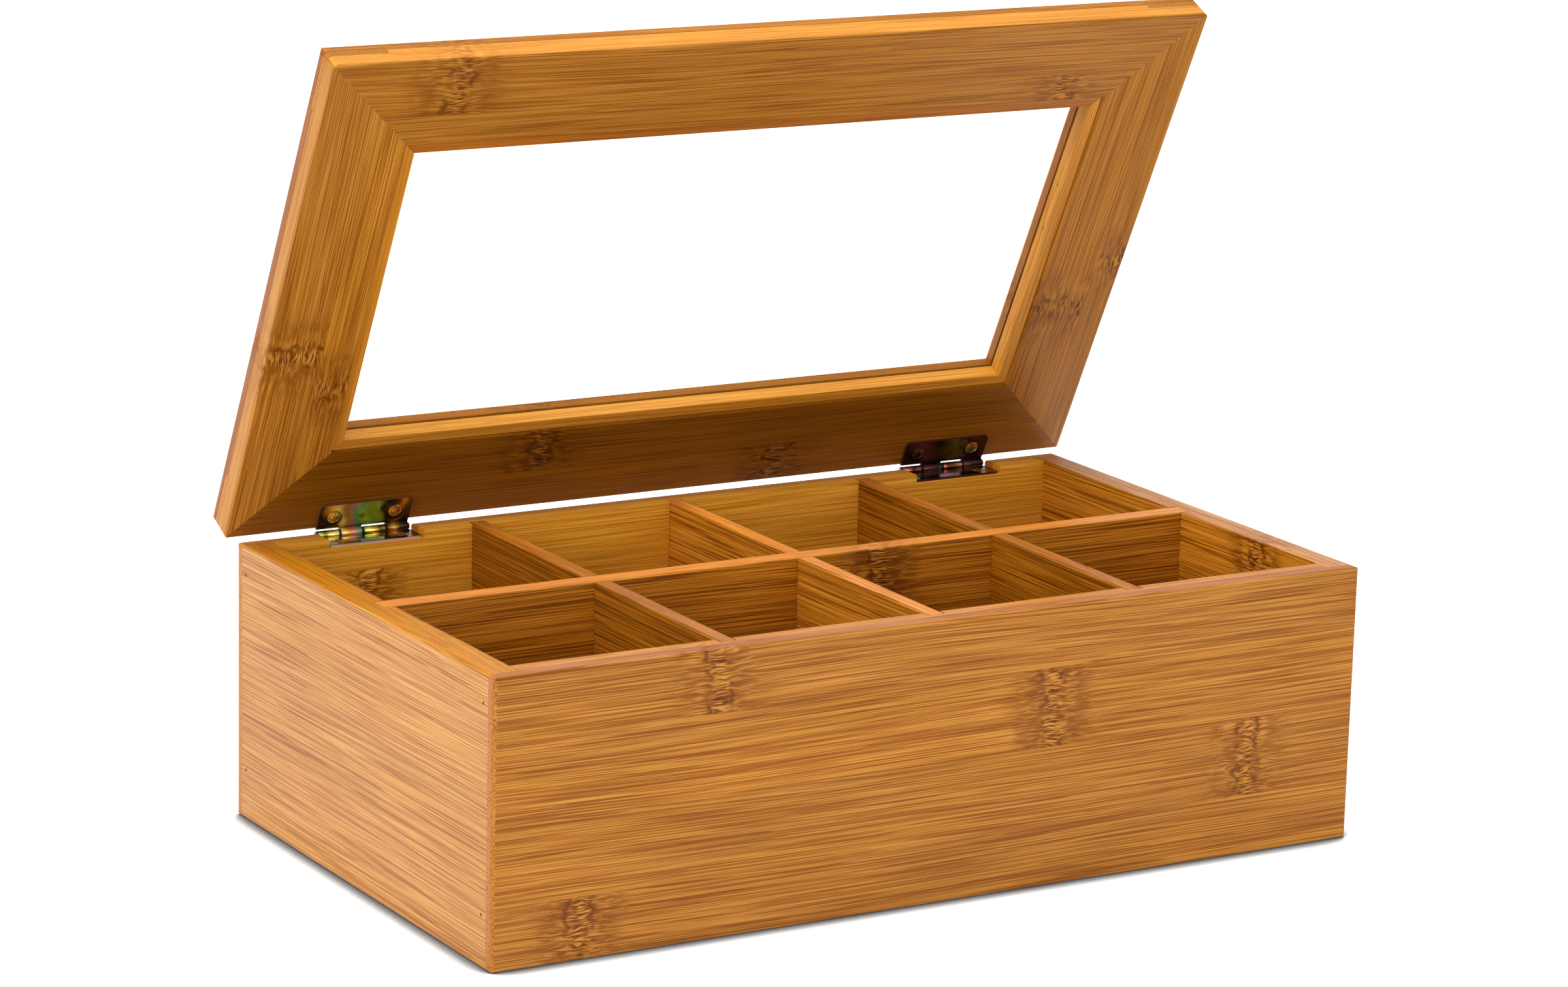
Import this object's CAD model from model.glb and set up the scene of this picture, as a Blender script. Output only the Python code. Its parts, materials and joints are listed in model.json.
"""Finish, lighting and camera for a hinged bamboo box with a glazed lid.

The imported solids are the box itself. This script gives each board its bamboo figure,
each hinge its plating and the window its clear pane, softens the boards' edges, and
sets the box on a pale floor in soft light.
"""

import json
import math

import bpy
from mathutils import Euler, Matrix, Vector

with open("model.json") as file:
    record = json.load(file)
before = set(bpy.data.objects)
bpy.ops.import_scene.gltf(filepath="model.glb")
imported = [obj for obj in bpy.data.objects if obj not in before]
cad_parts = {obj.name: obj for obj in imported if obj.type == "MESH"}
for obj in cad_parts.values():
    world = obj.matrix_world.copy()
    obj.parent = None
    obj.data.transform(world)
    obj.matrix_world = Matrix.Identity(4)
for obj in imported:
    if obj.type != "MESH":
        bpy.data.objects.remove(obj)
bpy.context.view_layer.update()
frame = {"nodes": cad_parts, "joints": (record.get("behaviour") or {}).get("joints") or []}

MM = 0.001
NODES = frame["nodes"]
LID_JOINT = frame["joints"][0]
PIN = Vector(LID_JOINT["pos_m"])
LID_OPEN = math.radians(-LID_JOINT["range_deg"][0])      # the lid is drawn this far open

WHITE = (1.0, 1.0, 1.0, 1.0)
BLACK = (0.0, 0.0, 0.0, 1.0)


# ---- shader helpers --------------------------------------------------------

def add(tree, kind, inputs=None, **settings):
    """Adds a shader node. Inputs are values or sockets, by name or number."""
    made = tree.nodes.new("ShaderNode" + kind)
    for name, value in settings.items():
        setattr(made, name, value)
    for key, value in (inputs or {}).items():
        if isinstance(value, bpy.types.NodeSocket):
            tree.links.new(value, made.inputs[key])
        else:
            made.inputs[key].default_value = value
    return made


def calc(tree, operation, *values):
    """One step of arithmetic on values or sockets."""
    return add(tree, "Math", dict(enumerate(values)), operation=operation).outputs[0]


def vector_calc(tree, operation, *values):
    """One step of arithmetic that gives a vector."""
    return add(tree, "VectorMath", dict(enumerate(values)), operation=operation).outputs["Vector"]


def measure(tree, operation, *values):
    """One step of arithmetic on vectors that gives a number."""
    return add(tree, "VectorMath", dict(enumerate(values)), operation=operation).outputs["Value"]


def times(tree, *values):
    """Multiplies values together."""
    product = values[0]
    for value in values[1:]:
        product = calc(tree, "MULTIPLY", product, value)
    return product


def centred(tree, value, size):
    """Turns a noise into one that swings to either side of zero."""
    return times(tree, calc(tree, "SUBTRACT", value, 0.5), size)


def ramp(tree, value, low, high, to_low=0.0, to_high=1.0):
    """Maps a value smoothly from the range low..high to to_low..to_high, and holds it there."""
    return add(tree, "MapRange", {"Value": value, "From Min": low, "From Max": high,
                                  "To Min": to_low, "To Max": to_high},
               interpolation_type="SMOOTHSTEP").outputs[0]


def fade(tree, value, low, high):
    """Falls smoothly from 1 at low to 0 at high."""
    return ramp(tree, value, low, high, 1.0, 0.0)


def mix(tree, amount, a, b, blend="MIX"):
    """Mixes two colours."""
    return add(tree, "Mix", {0: amount, 6: a, 7: b}, data_type="RGBA", blend_type=blend).outputs[2]


def tinted(tree, colour, tone):
    """Multiplies a colour by a tone."""
    return mix(tree, 1.0, colour, tone, "MULTIPLY")


def noise(tree, vector, detail):
    """Noise with one cell to each unit of its vector."""
    return add(tree, "TexNoise", {"Vector": vector, "Scale": 1.0, "Detail": detail}).outputs[0]


def stretched(tree, vector, scale, shift):
    """Scales a vector by a different amount each way and moves it by another vector."""
    return vector_calc(tree, "ADD", vector_calc(tree, "MULTIPLY", vector, scale), shift)


def even_noise(tree, vector, cells, detail):
    """Noise with as many cells in a metre each way."""
    return noise(tree, vector_calc(tree, "MULTIPLY", vector, (cells, cells, cells)), detail)


def combine(tree, x, y, z):
    """Makes a vector of three values."""
    return add(tree, "CombineXYZ", {0: x, 1: y, 2: z}).outputs[0]


def new_group(name, inputs, outputs):
    """Makes a node group with the sockets named, and returns it with its input and output nodes."""
    tree = bpy.data.node_groups.new(name, "ShaderNodeTree")
    for label, kind in inputs:
        tree.interface.new_socket(label, in_out="INPUT", socket_type="NodeSocket" + kind)
    for label, kind in outputs:
        tree.interface.new_socket(label, in_out="OUTPUT", socket_type="NodeSocket" + kind)
    return tree, tree.nodes.new("NodeGroupInput"), tree.nodes.new("NodeGroupOutput")


def new_material(name):
    """An empty material with a Principled shader, its tree and that shader."""
    material = bpy.data.materials.new(name)
    material.use_nodes = True
    tree = material.node_tree
    return material, tree, tree.nodes["Principled BSDF"]


def srgb(red, green, blue):
    """Turns a colour on the 0 to 255 scale into the linear values that a shader takes."""
    def linear(value):
        value = value / 255
        return value / 12.92 if value <= 0.04045 else ((value + 0.055) / 1.055) ** 2.4
    return (linear(red), linear(green), linear(blue), 1.0)


# ---- pieces ----------------------------------------------------------------

WELD_GAP = 0.002 * MM
FLAT_ANGLE = math.radians(0.5)       # faces closer than this are one face
SHARP_ANGLE = math.radians(35)       # edges sharper than this are rounded


def corners(node):
    """The corners of a CAD node's mesh."""
    return [vertex.co for vertex in NODES[node].data.vertices]


def dress(node, material):
    """Gives a CAD node its material."""
    slots = NODES[node].data.materials
    slots.clear()
    slots.append(material)


def soften(node, width, segments):
    """Rounds a solid's sharp edges a little, as sanding, lacquer and plating do."""
    solid = NODES[node]
    weld = solid.modifiers.new("weld", "WELD")
    weld.merge_threshold = WELD_GAP
    flat = solid.modifiers.new("planes", "DECIMATE")
    flat.decimate_type = "DISSOLVE"
    flat.angle_limit = FLAT_ANGLE
    bevel = solid.modifiers.new("eased_edges", "BEVEL")
    bevel.width = width
    bevel.segments = segments
    bevel.limit_method = "ANGLE"
    bevel.angle_limit = SHARP_ANGLE
    bevel.harden_normals = True


# ---- bamboo figure ---------------------------------------------------------

# Noises are drawn out along the strips: their cells in a metre along the strips and across them.
RAGGED, SWAY, CLUSTER = (60.0, 300.0), (6.0, 14.0), (16.0, 170.0)
HAIR, BOLD, SOFT = (24.0, 4000.0), (18.0, 2850.0), (18.0, 1300.0)
DRIFT, BLUSH = (6.0, 40.0), (9.0, 70.0)
SMOKE, RIM, CURL = (120.0, 75.0), (110.0, 240.0), (260.0, 500.0)
DASH, STUB, PORE = (250.0, 2500.0), (190.0, 2100.0), (900.0, 1500.0)

# The levels of its noise between which each kind of line comes in.
DARK_HAIR, PALE_HAIR = (0.54, 0.60), (0.44, 0.38)
DARK_BOLD, PALE_BOLD = (0.60, 0.63), (0.40, 0.375)
DARK_STUB, PALE_STUB = (0.54, 0.61), (0.42, 0.36)
PIT, TORN = (0.53, 0.60), (0.46, 0.38)

# How far noise moves the joints' edges, the fibres and the dark skin at a seam.
RAGGEDNESS, WAVE, CROWDING, CURLING, SKIN_WAVE = 7 * MM, 4 * MM, 3 * MM, 0.8 * MM, 3 * MM

# Distances over which something comes in or fades out.
NEAR_JOINT, ON_JOINT = (4 * MM, 22 * MM), (1.5 * MM, 4 * MM)
RIM_START, RIM_END = (2.4 * MM, 3.8 * MM), (4 * MM, 5.8 * MM)
EDGE_START, SKIN_END = (0.2 * MM, 1 * MM), (1.2 * MM, 2 * MM)
SEAM_LINE = (0.08 * MM, 0.30 * MM)
GLUE_LINE = (0.003, 0.011)           # in widths of a strip

BURNT = (0.55, 0.46, 0.45, 1.0)      # pits in a joint, against the dark fibres
STRAND = (1.12, 1.15, 1.20, 1.0)     # torn strands in a joint, against the pale fibres


class BambooFigure:
    """The node group for laminated bamboo.

    Board space runs along the strips, across them and through the board, in metres.
    A board has a first ply and a last one, in the order of their depth in board space.
    """

    def __init__(self):
        self.tree, source, result = new_group(
            "bamboo_figure",
            [("Board", "Vector"), ("Seed", "Float"), ("Strip Start", "Float"), ("Strip Width", "Float"),
             ("Joint Place", "Float"), ("Streaks", "Float"), ("Base", "Color"), ("Dark", "Color"),
             ("Light", "Color"), ("First Face", "Float"), ("Ply Seam", "Float"), ("Last Face", "Float"),
             ("First Tone", "Color"), ("First Edge", "Color"), ("Last Edge", "Color"),
             ("Seam Shade", "Float"), ("End Grain", "Float")],
            [("Color", "Color"), ("Roughness", "Float"), ("Height", "Float")])
        self.given = source.outputs
        self.board = self.given["Board"]
        self.find_strip()
        self.find_joint()
        self.bend_grain()
        colour = self.fibres()
        colour = self.tones(colour)
        colour = self.culm_joint(colour)
        colour = self.board_edges(colour)
        colour = self.sawn_end(colour)
        colour = self.glue_lines(colour)
        self.tree.links.new(colour, result.inputs["Color"])
        self.tree.links.new(self.roughness(), result.inputs["Roughness"])
        self.tree.links.new(self.height(), result.inputs["Height"])

    def figure(self, vector, cells, detail=1.0):
        """Noise drawn out along the strip, and different in each strip."""
        lengthways, crossways = cells
        scale = (lengthways, crossways, crossways)
        return noise(self.tree, stretched(self.tree, vector, scale, self.strip_shift), detail)

    def find_strip(self):
        """Finds the strip and ply that a point is in, and random numbers for them."""
        tree, given = self.tree, self.given
        self.along, across, self.through = add(tree, "SeparateXYZ", {0: self.board}).outputs
        from_start = calc(tree, "SUBTRACT", across, given["Strip Start"])
        self.strips_in = calc(tree, "DIVIDE", from_start, given["Strip Width"])
        self.past_seam = calc(tree, "SUBTRACT", self.through, given["Ply Seam"])
        self.in_last_ply = calc(tree, "GREATER_THAN", self.past_seam, 0.0)
        strip = combine(tree, calc(tree, "FLOOR", self.strips_in), self.in_last_ply, given["Seed"])
        chance = add(tree, "TexWhiteNoise", {0: strip}, noise_dimensions="3D").outputs["Color"]
        self.random = add(tree, "SeparateXYZ", {0: chance}).outputs
        self.strip_shift = vector_calc(tree, "MULTIPLY", chance, (40.0, 40.0, 40.0))

    def find_joint(self):
        """Measures how far a point is from its strip's culm joint, whose edges are ragged."""
        tree = self.tree
        self.ragged = self.figure(self.board, RAGGED)
        along = calc(tree, "ADD", self.along, centred(tree, self.ragged, RAGGEDNESS))
        off_joint = calc(tree, "SUBTRACT", along, self.given["Joint Place"])
        self.from_joint = calc(tree, "ABSOLUTE", off_joint)
        self.near_joint = fade(tree, self.from_joint, *NEAR_JOINT)
        self.on_joint = fade(tree, self.from_joint, *ON_JOINT)

    def bend_grain(self):
        """Lets the strips wave a little along their length, and crowds their fibres at a joint."""
        tree = self.tree
        wave = centred(tree, self.figure(self.board, SWAY, 0.0), WAVE)
        crowding = times(tree, centred(tree, self.ragged, CROWDING), self.near_joint)
        sideways = combine(tree, 0.0, calc(tree, "ADD", wave, crowding), 0.0)
        self.grain = vector_calc(tree, "ADD", self.board, sideways)

    def fibres(self):
        """Hair-thin fibres, dark and pale, with a bolder one here and there."""
        tree, given = self.tree, self.given
        cluster = centred(tree, self.figure(self.grain, CLUSTER), 0.045)
        hair = calc(tree, "ADD", self.figure(self.grain, HAIR, 0.0), cluster)
        bold = calc(tree, "ADD", self.figure(self.grain, BOLD, 0.0), cluster)
        dark_hair, pale_hair = ramp(tree, hair, *DARK_HAIR), ramp(tree, hair, *PALE_HAIR)
        dark_bold, pale_bold = ramp(tree, bold, *DARK_BOLD), ramp(tree, bold, *PALE_BOLD)
        pale = calc(tree, "MAXIMUM", times(tree, pale_bold, 0.80), times(tree, pale_hair, 0.65))
        self.lines = calc(tree, "MAXIMUM", times(tree, dark_bold, 0.90), times(tree, dark_hair, 0.60))
        colour = mix(tree, times(tree, pale, given["Streaks"]), given["Base"], given["Light"])
        return mix(tree, times(tree, self.lines, given["Streaks"]), colour, given["Dark"])

    def tones(self, colour):
        """A slow drift of tone along each strip, and a tone of its own for the first ply."""
        tree = self.tree
        self.soft = self.figure(self.grain, SOFT)
        self.drift = self.figure(self.board, DRIFT)
        change = calc(tree, "ADD", centred(tree, self.soft, 0.16), centred(tree, self.drift, 0.26))
        of_strip = calc(tree, "MULTIPLY_ADD", self.random[0], 0.10, 0.95)
        self.tone = calc(tree, "ADD", change, of_strip)
        yellowing = calc(tree, "MULTIPLY_ADD", self.figure(self.board, BLUSH, 0.0), 0.5, 0.75)
        blue = times(tree, self.tone, yellowing)
        colour = tinted(tree, colour, combine(tree, self.tone, self.tone, blue))
        self.ply_tone = mix(tree, self.in_last_ply, self.given["First Tone"], WHITE)
        return tinted(tree, colour, self.ply_tone)

    def culm_joint(self, colour):
        """Round a joint the fibres break up and the strip is smoked. At the joint it is torn."""
        tree, dark, light = self.tree, self.given["Dark"], self.given["Light"]
        column = ramp(tree, self.figure(self.board, SMOKE, 2.0), 0.36, 0.60)
        smoke = calc(tree, "MULTIPLY_ADD", self.random[1], 0.50, 0.42)
        self.rim = times(tree, ramp(tree, self.from_joint, *RIM_START),
                         fade(tree, self.from_joint, *RIM_END),
                         ramp(tree, self.figure(self.board, RIM, 2.0), 0.45, 0.60))
        curl = centred(tree, self.figure(self.board, CURL, 0.0), CURLING)
        curled = vector_calc(tree, "ADD", self.grain, combine(tree, 0.0, curl, 0.0))
        dashes = self.figure(curled, DASH, 0.0)
        self.pit = times(tree, ramp(tree, dashes, *PIT), self.on_joint)
        self.torn = times(tree, ramp(tree, dashes, *TORN), self.on_joint)
        stubs = self.figure(curled, STUB, 0.0)
        dark_stub = times(tree, self.near_joint, ramp(tree, stubs, *DARK_STUB))
        pale_stub = times(tree, self.near_joint, ramp(tree, stubs, *PALE_STUB))
        colour = mix(tree, times(tree, self.near_joint, column, smoke), colour, dark)
        colour = mix(tree, times(tree, dark_stub, 0.85), colour, dark)
        colour = mix(tree, times(tree, pale_stub, 0.55), colour, light)
        burnt = tinted(tree, dark, BURNT)
        colour = mix(tree, times(tree, self.rim, 0.80), colour, burnt)
        colour = mix(tree, times(tree, self.pit, 0.95), colour, burnt)
        return mix(tree, times(tree, self.torn, 0.70), colour, tinted(tree, light, STRAND))

    def board_edges(self, colour):
        """The edges of a board show its plies, each in its own tone, with a dark skin at the seam."""
        tree, given = self.tree, self.given
        from_first_face = calc(tree, "SUBTRACT", self.through, given["First Face"])
        from_last_face = calc(tree, "SUBTRACT", given["Last Face"], self.through)
        depth = calc(tree, "MINIMUM", from_first_face, from_last_face)
        on_edge = times(tree, ramp(tree, depth, *EDGE_START),
                        calc(tree, "SUBTRACT", 1.0, given["End Grain"]))
        plain = tinted(tree, given["Base"], combine(tree, self.tone, self.tone, self.tone))
        faded = mix(tree, 0.40, colour, plain)
        ply = mix(tree, self.in_last_ply, given["First Edge"], given["Last Edge"])
        colour = mix(tree, on_edge, colour, tinted(tree, faded, ply))
        uneven = calc(tree, "ADD", self.past_seam, centred(tree, self.soft, SKIN_WAVE))
        skin = times(tree, self.in_last_ply, fade(tree, uneven, *SKIN_END), given["Seam Shade"])
        return mix(tree, times(tree, skin, 0.75), colour, given["Dark"])

    def sawn_end(self, colour):
        """A sawn end is duller and shows the fibres as dots."""
        tree, given = self.tree, self.given
        pores = ramp(tree, self.figure(self.board, PORE, 0.0), 0.50, 0.66, 0.30, 0.85)
        sawn = tinted(tree, mix(tree, pores, given["Base"], given["Dark"]), self.ply_tone)
        return mix(tree, given["End Grain"], colour, sawn)

    def glue_lines(self, colour):
        """Hairlines of glue show between neighbouring strips and plies."""
        tree = self.tree
        place_in_strip = calc(tree, "FRACT", self.strips_in)
        to_side = calc(tree, "MINIMUM", place_in_strip, calc(tree, "SUBTRACT", 1.0, place_in_strip))
        glue = times(tree, fade(tree, to_side, *GLUE_LINE), 0.30)
        to_seam = calc(tree, "ABSOLUTE", self.past_seam)
        seam = times(tree, fade(tree, to_seam, *SEAM_LINE),
                     ramp(tree, self.drift, 0.30, 0.60, 0.25, 0.85))
        return mix(tree, calc(tree, "MAXIMUM", glue, seam), colour, self.given["Dark"])

    def roughness(self):
        """Dark fibres and torn wood are a little rougher than the lacquer between them."""
        of_lines = calc(self.tree, "MULTIPLY_ADD", self.lines, 0.10, 0.36)
        return calc(self.tree, "ADD", of_lines, times(self.tree, self.on_joint, 0.12))

    def height(self):
        """Torn strands stand up. Dark fibres, pits and a joint's rims lie low."""
        tree = self.tree
        high = calc(tree, "MULTIPLY_ADD", self.lines, -0.30, times(tree, self.torn, 0.6))
        low = calc(tree, "ADD", self.pit, times(tree, self.rim, 0.5))
        return calc(tree, "SUBTRACT", high, low)


BAMBOO = BambooFigure().tree


# ---- boards ----------------------------------------------------------------

NO_JOINT = 0.4                       # a place past the end of every board, in metres
JOINT_SPAN = 0.5                     # places along a board run from -0.5 m to 0.5 m
FAR = 1.0                            # a depth past the thickness of every board
STRIP = 27 * MM                      # the usual width of a strip
LACQUER_GLOSS = 0.15
BOARD_EASE = 0.25 * MM               # how far a board's edges are rounded


def along_x():
    """Turn for a board whose strips run left to right, one above the other."""
    return Euler((-math.pi / 2, 0, 0)).to_matrix(), Vector()


def along_y():
    """Turn for a board whose strips run front to back, one above the other."""
    return Euler((-math.pi / 2, math.pi / 2, 0)).to_matrix(), Vector()


def flat_x():
    """Turn for a panel that lies flat, with its strips left to right."""
    return Matrix.Identity(3), Vector()


def lid_rail():
    """Turn for the lid's rails: the lid's own plane, as if it were closed."""
    turn = Matrix.Rotation(LID_OPEN, 3, "X")
    return turn, PIN - turn @ PIN


def turned_in_lid(angle):
    """Turn for a piece of the lid whose grain is at an angle to the rails."""
    turn = Matrix.Rotation(angle, 3, "Z")
    flat, shift = lid_rail()
    return turn @ flat, turn @ shift


def lid_stile():
    """Turn for the lid's stiles, whose strips run front to back."""
    return turned_in_lid(-math.pi / 2)


def lid_key():
    """Turn for the mitre keys, whose grain runs across the corner."""
    return turned_in_lid(math.pi / 4)


def faces(node, turn):
    """The depths in board space of a board's first and last faces."""
    matrix, shift = turn
    depths = [(matrix @ corner + shift).z for corner in corners(node)]
    return min(depths), max(depths)


def joint_lookup(tree, across, strip_start, strip_width, joints):
    """Gives the place of the culm joint in whichever strip a point lies."""
    count = len(joints)
    span = add(tree, "MapRange", {"Value": across, "From Min": strip_start,
                                  "From Max": strip_start + count * strip_width})
    table = add(tree, "ValToRGB", {0: span.outputs[0]})
    steps = table.color_ramp
    steps.interpolation = "CONSTANT"
    while len(steps.elements) < count:
        steps.elements.new(0.5)
    for number, place in enumerate(joints):
        level = ((place if place is not None else NO_JOINT) + JOINT_SPAN) / (2 * JOINT_SPAN)
        steps.elements[number].position = number / count
        steps.elements[number].color = (level, level, level, 1.0)
    return add(tree, "MapRange", {"Value": table.outputs[0], "To Min": -JOINT_SPAN,
                                  "To Max": JOINT_SPAN}).outputs[0]


def board(node, turn, tones, seed, strip_start, joints, strip_width=STRIP, streaks=1.0,
          seam=None, edges=None, first_tone=WHITE, seam_shade=0.0):
    """Dresses one board in bamboo. Each strip has one culm joint, or none.

    The seam is given as its distance from the first face. Edges holds the tones that the
    first and last plies have on the board's edges, and a board without it has none to show.
    """
    material, tree, shader = new_material("bamboo_" + node)
    matrix, shift = turn
    source = add(tree, "TexCoord").outputs
    place = add(tree, "Mapping", {"Vector": source["Object"], "Location": shift,
                                  "Rotation": matrix.to_euler()}).outputs[0]
    across = add(tree, "SeparateXYZ", {0: place}).outputs[1]
    faces_along = calc(tree, "ABSOLUTE", measure(tree, "DOT_PRODUCT", source["Normal"], matrix.row[0]))
    first_face, last_face = faces(node, turn) if edges else (-FAR, FAR)
    first_edge, last_edge = edges or (WHITE, WHITE)
    figure = tree.nodes.new("ShaderNodeGroup")
    figure.node_tree = BAMBOO
    tree.links.new(place, figure.inputs["Board"])
    tree.links.new(ramp(tree, faces_along, 0.80, 0.95), figure.inputs["End Grain"])
    tree.links.new(joint_lookup(tree, across, strip_start, strip_width, joints),
                   figure.inputs["Joint Place"])
    for label, value in (("Seed", seed), ("Strip Start", strip_start), ("Strip Width", strip_width),
                         ("Streaks", streaks), ("Base", tones["base"]), ("Dark", tones["dark"]),
                         ("Light", tones["light"]), ("First Face", first_face), ("Last Face", last_face),
                         ("Ply Seam", FAR if seam is None else first_face + seam),
                         ("First Tone", first_tone), ("First Edge", first_edge),
                         ("Last Edge", last_edge), ("Seam Shade", seam_shade)):
        figure.inputs[label].default_value = value
    bump = add(tree, "Bump", {"Height": figure.outputs["Height"], "Strength": 0.5, "Distance": 0.1 * MM})
    tree.links.new(figure.outputs["Color"], shader.inputs["Base Color"])
    tree.links.new(figure.outputs["Roughness"], shader.inputs["Roughness"])
    tree.links.new(bump.outputs[0], shader.inputs["Normal"])
    shader.inputs["Specular IOR Level"].default_value = LACQUER_GLOSS
    dress(node, material)
    soften(node, BOARD_EASE, 2)


GOLD = dict(base=srgb(181, 115, 36), dark=srgb(132, 70, 8), light=srgb(206, 141, 58))
PEACH = dict(base=srgb(184, 126, 54), dark=srgb(142, 78, 28), light=srgb(200, 145, 72))
BROWN = dict(base=srgb(190, 115, 22), dark=srgb(118, 58, 4), light=srgb(212, 140, 42))
HONEY = dict(base=srgb(182, 118, 36), dark=srgb(136, 76, 12), light=srgb(200, 138, 54))
TAN = dict(base=srgb(174, 110, 30), dark=srgb(132, 74, 10), light=srgb(190, 128, 46))
SMOKED = dict(base=srgb(134, 79, 8), dark=srgb(88, 42, 1), light=srgb(154, 96, 16))
APRICOT = dict(base=srgb(206, 136, 40), dark=srgb(160, 92, 16), light=srgb(226, 164, 70))
RUSSET = dict(base=srgb(168, 98, 26), dark=srgb(124, 66, 8), light=srgb(188, 120, 44))
BRIGHT = dict(base=srgb(238, 160, 42), dark=srgb(172, 101, 13), light=srgb(250, 186, 72))
SHADED = dict(base=srgb(154, 88, 10), dark=srgb(84, 38, 1), light=srgb(176, 110, 22))

# Tones of the first and last plies on a board's edges, against its faces.
FRONT_EDGES = ((1.30, 1.34, 2.2, 1.0), (0.98, 0.94, 2.1, 1.0))
LEFT_EDGES = ((1.22, 1.06, 0.24, 1.0), (1.20, 1.02, 0.20, 1.0))
RIGHT_EDGES = ((1.10, 1.50, 9.0, 1.0), (1.15, 1.42, 7.0, 1.0))
DIVIDER_EDGES = ((1.45, 1.50, 3.6, 1.0), WHITE)
RAIL_EDGES = ((1.80, 1.88, 2.7, 1.0), (1.02, 0.98, 1.0, 1.0))
STILE_EDGES = ((1.00, 1.03, 0.90, 1.0), (0.62, 0.48, 0.36, 1.0))
BACK_OUTSIDE = (0.60, 0.56, 0.80, 1.0)

# Where the culm joint is in each strip, in metres from the middle of the box.
TWO_CLEAR_STRIPS = (None, None)
FOUR_CLEAR_STRIPS = (None, None, None, None)


def finish_box():
    """Bamboo for the walls, which are glued up from two even plies, the base and the dividers."""
    first_face, last_face = faces("front_wall", along_x())
    ply = (last_face - first_face) / 2
    board("front_wall", along_x(), GOLD, seed=41, strip_start=-6 * MM,
          joints=(-0.134, 0.121, 0.042, -0.085), seam=ply, edges=FRONT_EDGES)
    board("back_wall", along_x(), BRIGHT, seed=2, strip_start=3 * MM, joints=(0.03, None, -0.12, None),
          seam=ply, edges=(WHITE, WHITE), first_tone=BACK_OUTSIDE, streaks=0.7)
    board("left_wall", along_y(), PEACH, seed=3, strip_start=1 * MM, joints=FOUR_CLEAR_STRIPS,
          seam=ply, edges=LEFT_EDGES)
    board("right_wall", along_y(), BROWN, seed=4, strip_start=-8 * MM, joints=(0.02, -0.07, None, 0.05),
          seam=ply, edges=RIGHT_EDGES)
    board("base_panel", flat_x(), BROWN, seed=5, strip_start=-95 * MM, strip_width=38 * MM,
          joints=(0.05, -0.1, 0.12, None, -0.03))
    board("long_divider", along_x(), BROWN, seed=6, strip_start=-2 * MM, strip_width=25 * MM,
          joints=(None, 0.1, None, 0.03), edges=DIVIDER_EDGES)
    for number, (place, tones) in enumerate((("left", SHADED), ("middle", BROWN), ("right", SHADED))):
        board("cross_divider_" + place, along_y(), tones, seed=7 + number, strip_start=-9 * MM,
              strip_width=26 * MM, joints=(None, 0.05 - 0.04 * number, None, None), edges=DIVIDER_EDGES)


def finish_lid():
    """Bamboo for the lid's frame, beads and keys."""
    rail, stile = lid_rail(), lid_stile()
    lower_ply, left_lower_ply = 7.6 * MM, 6.8 * MM
    board("lid_front_rail", rail, TAN, seed=11, strip_start=-103 * MM, joints=(-0.122, 0.1167),
          seam=lower_ply, edges=RAIL_EDGES)
    board("lid_back_rail", rail, SMOKED, seed=12, strip_start=52 * MM, joints=(-0.054, 0.0445),
          seam=lower_ply, edges=RAIL_EDGES, streaks=0.65)
    board("lid_left_stile", stile, HONEY, seed=13, strip_start=121 * MM, joints=(0.034, 0.019),
          seam=left_lower_ply, edges=STILE_EDGES, seam_shade=1.0)
    board("lid_right_stile", stile, TAN, seed=14, strip_start=-185 * MM, joints=(0.0086, 0.028),
          seam=lower_ply, edges=STILE_EDGES)
    for number, (place, tones) in enumerate((("front", RUSSET), ("back", APRICOT))):
        board(place + "_bead", rail, tones, seed=21 + number, strip_start=-120 * MM,
              strip_width=50 * MM, joints=TWO_CLEAR_STRIPS)
    for number, place in enumerate(("left", "right")):
        board(place + "_bead", stile, APRICOT, seed=23 + number, strip_start=-200 * MM,
              strip_width=100 * MM, joints=TWO_CLEAR_STRIPS)
    for number, place in enumerate(("front_left", "front_right", "back_left", "back_right")):
        board("mitre_key_" + place, lid_key(), GOLD if number % 2 else TAN, seed=31 + number,
              strip_start=0, strip_width=50 * MM, joints=TWO_CLEAR_STRIPS)


# ---- hinges ----------------------------------------------------------------

LEAF_EASE = 0.28 * MM                # how far a leaf's edges are rounded
SCREW_RING = (2.8 * MM, 3.5 * MM)    # where the dark ring round a screw ends
CROOK_START, CROOK_END = (1.6 * MM, 1.8 * MM), (2.2 * MM, 3.4 * MM)      # from the pin's axis
BARREL_END, KNUCKLE_GAP = (1.7 * MM, 2 * MM), (0.35 * MM, 0.8 * MM)
PLATE_START = (2 * MM, 2.6 * MM)
KNUCKLES = 4                         # in the length of a hinge
SCREW_METAL = 0.8
WALL_LEAF_METAL = 1.0
LID_LEAF_METAL = 0.55                # the lid's leaves are duller
CUT_METAL = 0.1                      # and a leaf's cut edges hardly shine

MAROON, UMBER, OLIVE = (74, 22, 24), (46, 26, 12), (96, 78, 22)
AMBER, STRAW, LEAF = (206, 136, 44), (240, 206, 110), (142, 176, 50)
TEAL, ROSE, PALE = (92, 160, 120), (206, 130, 120), (226, 224, 170)

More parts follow.
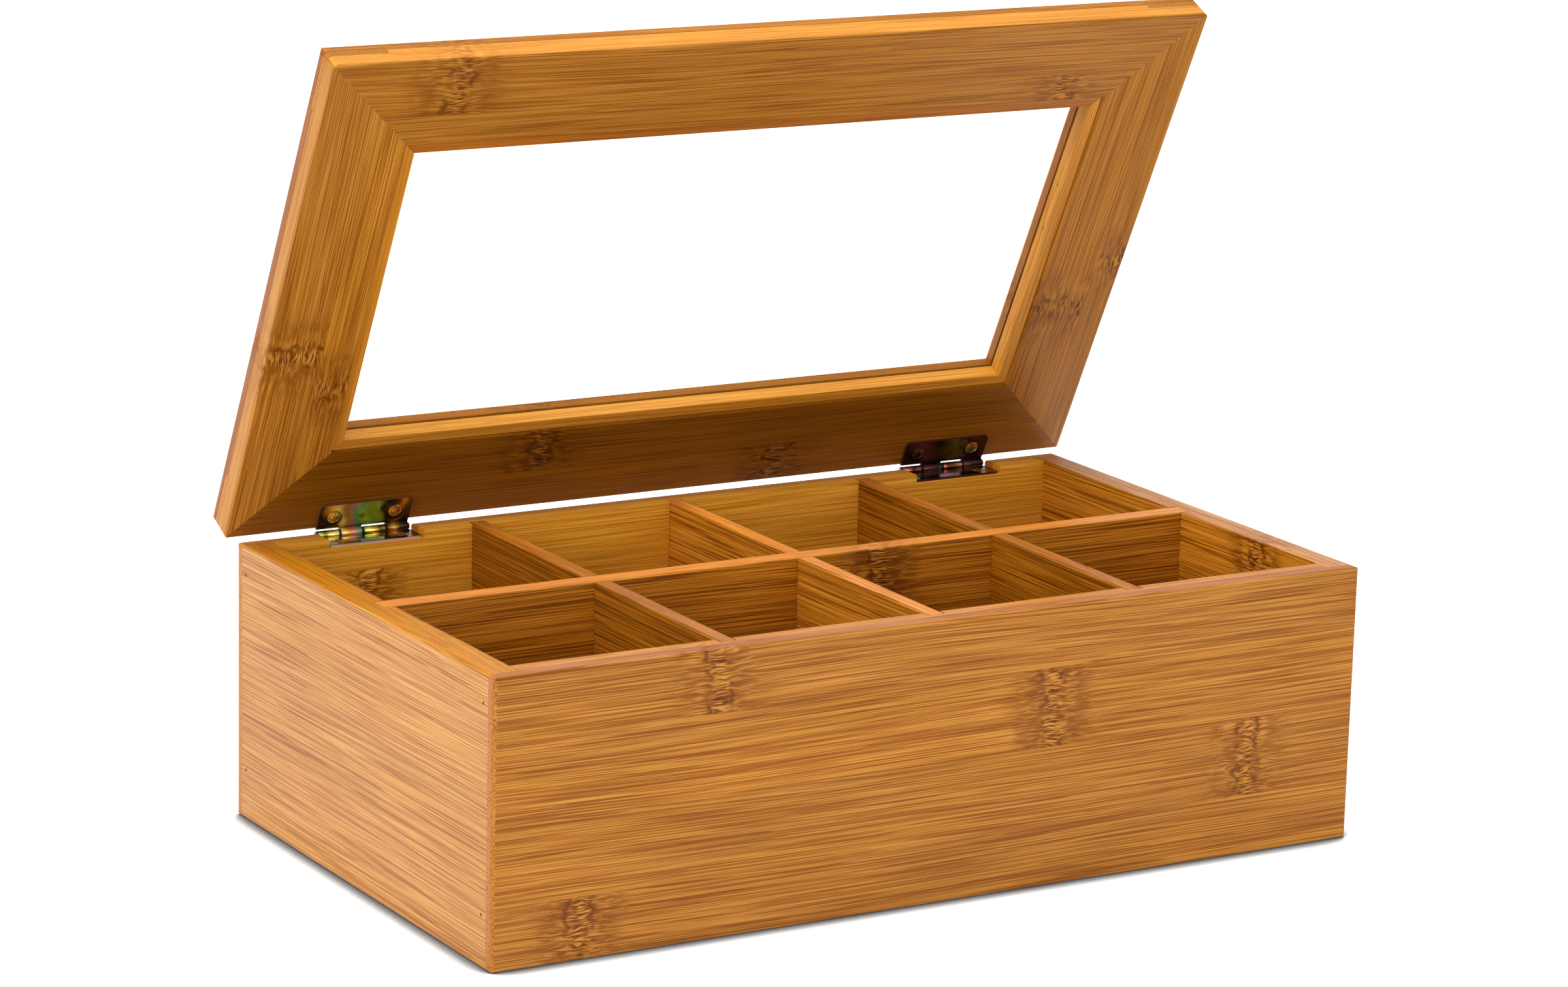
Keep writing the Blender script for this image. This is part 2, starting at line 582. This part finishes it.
# The colours of each leaf's film from left to right, and the tone of its cut edges.
LEAVES = {
    ("left", "lid"): ((MAROON, UMBER, AMBER, STRAW, AMBER, ROSE, TEAL, LEAF, LEAF, UMBER,
                       OLIVE, AMBER, OLIVE, MAROON), srgb(104, 62, 44)),
    ("left", "wall"): ((PALE, LEAF, STRAW, PALE, OLIVE, LEAF, STRAW, OLIVE, AMBER, ROSE, UMBER),
                       srgb(206, 172, 148)),
    ("right", "lid"): ((UMBER, MAROON, UMBER, OLIVE, MAROON, UMBER), srgb(70, 26, 28)),
    ("right", "wall"): ((ROSE, MAROON, ROSE, ROSE, MAROON, OLIVE, ROSE, MAROON), srgb(60, 24, 26)),
}
SCREW_FILMS = {"left": (STRAW, AMBER, STRAW, AMBER), "right": (OLIVE, OLIVE, STRAW, OLIVE)}


def ends_of(leaf_node):
    """The left and right ends of a hinge leaf."""
    across = [corner.x for corner in corners(leaf_node)]
    return min(across), max(across)


def middle_of(places):
    """The middle of the box that holds some points."""
    low = Vector((min(place[axis] for place in places) for axis in range(3)))
    high = Vector((max(place[axis] for place in places) for axis in range(3)))
    return (low + high) / 2


def screw_places(node):
    """A point on the axis of each of the two screws that a node holds."""
    places = corners(node)
    middle = sum(place.x for place in places) / len(places)
    return [middle_of([place for place in places if place.x < middle]),
            middle_of([place for place in places if place.x >= middle])]


def film_colour(tree, place, ends, films, seed):
    """Colours of zinc plating, in order from its left end to its right one, with wavy borders."""
    from_left = calc(tree, "SUBTRACT", add(tree, "SeparateXYZ", {0: place}).outputs[0], ends[0])
    waves = noise(tree, stretched(tree, place, (80.0, 150.0, 150.0), (seed, seed, seed)), 1.0)
    along = calc(tree, "ADD", calc(tree, "DIVIDE", from_left, ends[1] - ends[0]),
                 centred(tree, waves, 0.36))
    bands = add(tree, "ValToRGB", {0: along})
    elements = bands.color_ramp.elements
    while len(elements) < len(films):
        elements.new(0.5)
    for number, (element, colour) in enumerate(zip(elements, films)):
        element.position = number / (len(films) - 1)
        element.color = srgb(*colour)
    return bands.outputs[0]


def stains(tree, place, seed):
    """Darker patches in the film."""
    patch = noise(tree, stretched(tree, place, (240.0, 240.0, 240.0), (seed, 0.0, seed)), 1.0)
    return ramp(tree, patch, 0.30, 0.44, 0.40, 1.0)


def round_screw(tree, place, screw, facing):
    """The dark ring in the countersink round a screw."""
    spoke = vector_calc(tree, "CROSS_PRODUCT", vector_calc(tree, "SUBTRACT", place, screw), facing)
    return ramp(tree, measure(tree, "LENGTH", spoke), *SCREW_RING, 0.06, 1.0)


def distance_from_pin(tree, place):
    """How far a point is from the axis of the hinge pins."""
    off_pin = vector_calc(tree, "MULTIPLY", vector_calc(tree, "SUBTRACT", place, PIN), (0.0, 1.0, 1.0))
    return measure(tree, "LENGTH", off_pin)


def in_bends(tree, place, from_pin, ends):
    """Darkness in the crook behind the knuckles, and where one knuckle meets the next."""
    crook = times(tree, ramp(tree, from_pin, *CROOK_START), fade(tree, from_pin, *CROOK_END))
    from_left = calc(tree, "SUBTRACT", add(tree, "SeparateXYZ", {0: place}).outputs[0], ends[0])
    half_knuckle = (ends[1] - ends[0]) / KNUCKLES / 2
    at_end = times(tree, fade(tree, from_pin, *BARREL_END),
                   fade(tree, calc(tree, "PINGPONG", from_left, half_knuckle), *KNUCKLE_GAP))
    return calc(tree, "MULTIPLY_ADD", calc(tree, "MAXIMUM", crook, at_end), -0.85, 1.0)


def cut_edges(tree, normal, facing, from_pin):
    """A leaf's cut edges, which lie past its knuckles and don't face the way it does."""
    level = calc(tree, "ABSOLUTE", measure(tree, "DOT_PRODUCT", normal, facing))
    return times(tree, ramp(tree, from_pin, *PLATE_START), fade(tree, level, 0.50, 0.95))


def film_roughness(tree, place):
    """Plating is smooth, and a little uneven."""
    return ramp(tree, even_noise(tree, place, 900.0, 2.0), 0.3, 0.7, 0.14, 0.22)


def plated_leaf(node, ends, films, seed, screws, facing, metal, cut_tone):
    """Yellow zinc plating for a hinge leaf, which is dark round its screws and in its bends."""
    material, tree, shader = new_material("zinc_" + node)
    source = add(tree, "TexCoord").outputs
    place = source["Object"]
    from_pin = distance_from_pin(tree, place)
    depth = times(tree, stains(tree, place, seed), in_bends(tree, place, from_pin, ends),
                  *(round_screw(tree, place, screw, facing) for screw in screws))
    film = film_colour(tree, place, ends, films, seed)
    cut = cut_edges(tree, source["Normal"], facing, from_pin)
    colour = mix(tree, cut, tinted(tree, film, combine(tree, depth, depth, depth)), cut_tone)
    tree.links.new(colour, shader.inputs["Base Color"])
    tree.links.new(ramp(tree, cut, 0.0, 1.0, metal, CUT_METAL), shader.inputs["Metallic"])
    tree.links.new(film_roughness(tree, place), shader.inputs["Roughness"])
    dress(node, material)
    soften(node, LEAF_EASE, 3)


def plated_screws(node, ends, films, seed):
    """Yellow zinc plating for the two screws in a leaf."""
    material, tree, shader = new_material("zinc_" + node)
    place = add(tree, "TexCoord").outputs["Object"]
    depth = stains(tree, place, seed)
    film = film_colour(tree, place, ends, films, seed)
    tree.links.new(tinted(tree, film, combine(tree, depth, depth, depth)), shader.inputs["Base Color"])
    tree.links.new(film_roughness(tree, place), shader.inputs["Roughness"])
    shader.inputs["Metallic"].default_value = SCREW_METAL
    dress(node, material)


def finish_hinges():
    """Plating for the hinges and their screws."""
    up = Vector((0, 0, 1))
    square_to_lid = Matrix.Rotation(-LID_OPEN, 3, "X") @ up
    facings = {"lid": square_to_lid, "wall": up}
    metals = {"lid": LID_LEAF_METAL, "wall": WALL_LEAF_METAL}
    for seed, ((side, leaf), (films, cut_tone)) in enumerate(LEAVES.items()):
        node = "%s_hinge_%s_leaf" % (side, leaf)
        screws = "%s_%s_screws" % (side, leaf)
        ends = ends_of(node)
        plated_leaf(node, ends, films, seed, screw_places(screws), facings[leaf], metals[leaf], cut_tone)
        plated_screws(screws, ends, SCREW_FILMS[side], seed + 0.5)


# ---- steel and glass -------------------------------------------------------

PIN_STEEL, PIN_ROUGHNESS = (0.28, 0.25, 0.14, 1.0), 0.25
BRAD_STEEL, BRAD_ROUGHNESS = (0.10, 0.08, 0.07, 1.0), 0.5
STEEL_SHEEN = (0.9, 0.88, 0.85, 1.0)
PANE_TINT = (0.985, 0.995, 0.99, 1.0)
PANE_SHADOW = (0.97, 0.98, 0.975, 1.0)
PANE_INDEX = 1.49


def steel(name, colour, roughness):
    """Dull steel with a fine uneven surface."""
    material, tree, shader = new_material(name)
    grain = even_noise(tree, add(tree, "TexCoord").outputs["Object"], 1500.0, 2.0)
    tree.links.new(mix(tree, grain, colour, STEEL_SHEEN, "MULTIPLY"), shader.inputs["Base Color"])
    tree.links.new(ramp(tree, grain, 0.2, 0.8, roughness, roughness + 0.15), shader.inputs["Roughness"])
    shader.inputs["Metallic"].default_value = 1.0
    return material


def clear_pane():
    """Clear glazing that lets the light through to what stands behind it."""
    material, tree, shader = new_material("clear_pane")
    smear = even_noise(tree, add(tree, "TexCoord").outputs["Object"], 30.0, 3.0)
    tree.links.new(ramp(tree, smear, 0.3, 0.8, 0.0, 0.03), shader.inputs["Roughness"])
    shader.inputs["Base Color"].default_value = PANE_TINT
    shader.inputs["Transmission Weight"].default_value = 1.0
    shader.inputs["IOR"].default_value = PANE_INDEX
    through = add(tree, "BsdfTransparent", {0: PANE_SHADOW})
    rays = add(tree, "LightPath").outputs["Is Shadow Ray"]
    both = add(tree, "MixShader", {0: rays, 1: shader.outputs[0], 2: through.outputs[0]})
    tree.links.new(both.outputs[0], tree.nodes["Material Output"].inputs["Surface"])
    return material


def finish_steel_and_glass():
    """Steel for the pins and brads, and the clear window."""
    for side in ("left", "right"):
        dress(side + "_hinge_pin", steel("pin_steel_" + side, PIN_STEEL, PIN_ROUGHNESS))
    dress("corner_brads", steel("corner_brad_steel", BRAD_STEEL, BRAD_ROUGHNESS))
    dress("bead_brads", steel("bead_brad_steel", BRAD_STEEL, BRAD_ROUGHNESS))
    dress("window_pane", clear_pane())


# ---- stage -----------------------------------------------------------------

FLOOR_SIZE = 30                      # metres
FLOOR_GREY = (0.90, 0.90, 0.90, 1.0)
SHADOW_REACH = 14 * MM               # of the dark line round the box's foot
BOX_MIDDLE = Vector((0, 0, 0.08))
BRIGHT_SIDE = (-0.62, 0.40, 0.67)    # towards the brighter side of the studio


def make_floor():
    """A white sheet that keeps the box's shadow close round its foot."""
    bpy.ops.object.select_all(action="DESELECT")
    bpy.ops.mesh.primitive_plane_add(size=FLOOR_SIZE, location=(0, 0, 0))
    floor = bpy.context.object
    floor.name = "floor"
    material, tree, shader = new_material("white_floor")
    openness = add(tree, "AmbientOcclusion", {"Distance": SHADOW_REACH}, samples=12).outputs["AO"]
    lit = ramp(tree, openness, 0.50, 0.92, 0.06, 1.0)
    path = add(tree, "LightPath").outputs
    shade = times(tree, path["Is Camera Ray"], calc(tree, "SUBTRACT", 1.0, lit))
    tree.links.new(mix(tree, shade, FLOOR_GREY, BLACK), shader.inputs["Base Color"])
    seen = calc(tree, "MAXIMUM", path["Is Camera Ray"], path["Is Transmission Ray"])
    seen = calc(tree, "MAXIMUM", seen, path["Is Glossy Ray"])
    tree.links.new(times(tree, seen, lit), shader.inputs["Emission Strength"])
    shader.inputs["Emission Color"].default_value = WHITE
    shader.inputs["Roughness"].default_value = 0.9
    shader.inputs["Specular IOR Level"].default_value = 0.0
    floor.data.materials.append(material)


def lamp(name, place, size, watts):
    """A square soft light aimed at the middle of the box."""
    light = bpy.data.lights.new(name, "AREA")
    light.shape = "SQUARE"
    light.size = size
    light.energy = watts
    holder = bpy.data.objects.new(name, light)
    holder.location = place
    holder.rotation_euler = (BOX_MIDDLE - Vector(place)).to_track_quat("-Z", "Y").to_euler()
    bpy.context.scene.collection.objects.link(holder)


def make_light():
    """A white studio, brighter behind the box at the left and dimmer in front at the right."""
    world = bpy.data.worlds.new("studio")
    bpy.context.scene.world = world
    world.use_nodes = True
    tree = world.node_tree
    backdrop = tree.nodes["Background"].inputs
    towards = measure(tree, "DOT_PRODUCT", add(tree, "TexCoord").outputs["Generated"], BRIGHT_SIDE)
    room = ramp(tree, towards, -0.7, 0.9, 0.12, 0.85)
    path = add(tree, "LightPath").outputs
    seen = calc(tree, "MAXIMUM", path["Is Camera Ray"], path["Is Transmission Ray"])
    shine = times(tree, path["Is Glossy Ray"], 0.8)
    tree.links.new(calc(tree, "MAXIMUM", seen, calc(tree, "MAXIMUM", room, shine)), backdrop["Strength"])
    backdrop["Color"].default_value = WHITE
    lamp("key_left", place=(-1.6, -0.5, 0.9), size=1.2, watts=18)
    lamp("top", place=(-0.2, 0.1, 1.9), size=1.4, watts=20)
    lamp("front_fill", place=(0.5, -2.0, 0.15), size=1.4, watts=15)


def make_camera():
    """The view comes from the camera's place, its turn from straight ahead, its tilt and its roll."""
    image_width = 2400                    # in pixels
    focal = 7767.6                        # in pixels
    turn, tilt, roll = (math.radians(angle) for angle in (30.755, 13.369, 1.473))
    place = Vector((-0.8587, -1.4319, 0.5139))
    ahead = Vector((math.sin(turn) * math.cos(tilt), math.cos(turn) * math.cos(tilt), -math.sin(tilt)))
    level = Vector((math.cos(turn), -math.sin(turn), 0))
    upright = level.cross(ahead)
    right = math.cos(roll) * level + math.sin(roll) * upright
    up = -math.sin(roll) * level + math.cos(roll) * upright
    data = bpy.data.cameras.new("camera")
    data.sensor_width = 36
    data.lens = focal / image_width * data.sensor_width
    camera = bpy.data.objects.new("camera", data)
    camera.matrix_world = Matrix((right, up, -ahead)).transposed().to_4x4()
    camera.location = place
    bpy.context.scene.collection.objects.link(camera)
    bpy.context.scene.camera = camera


# ---- making ----------------------------------------------------------------

finish_box()
finish_lid()
finish_hinges()
finish_steel_and_glass()
make_floor()
make_light()
make_camera()
bpy.context.scene.view_settings.view_transform = "Standard"
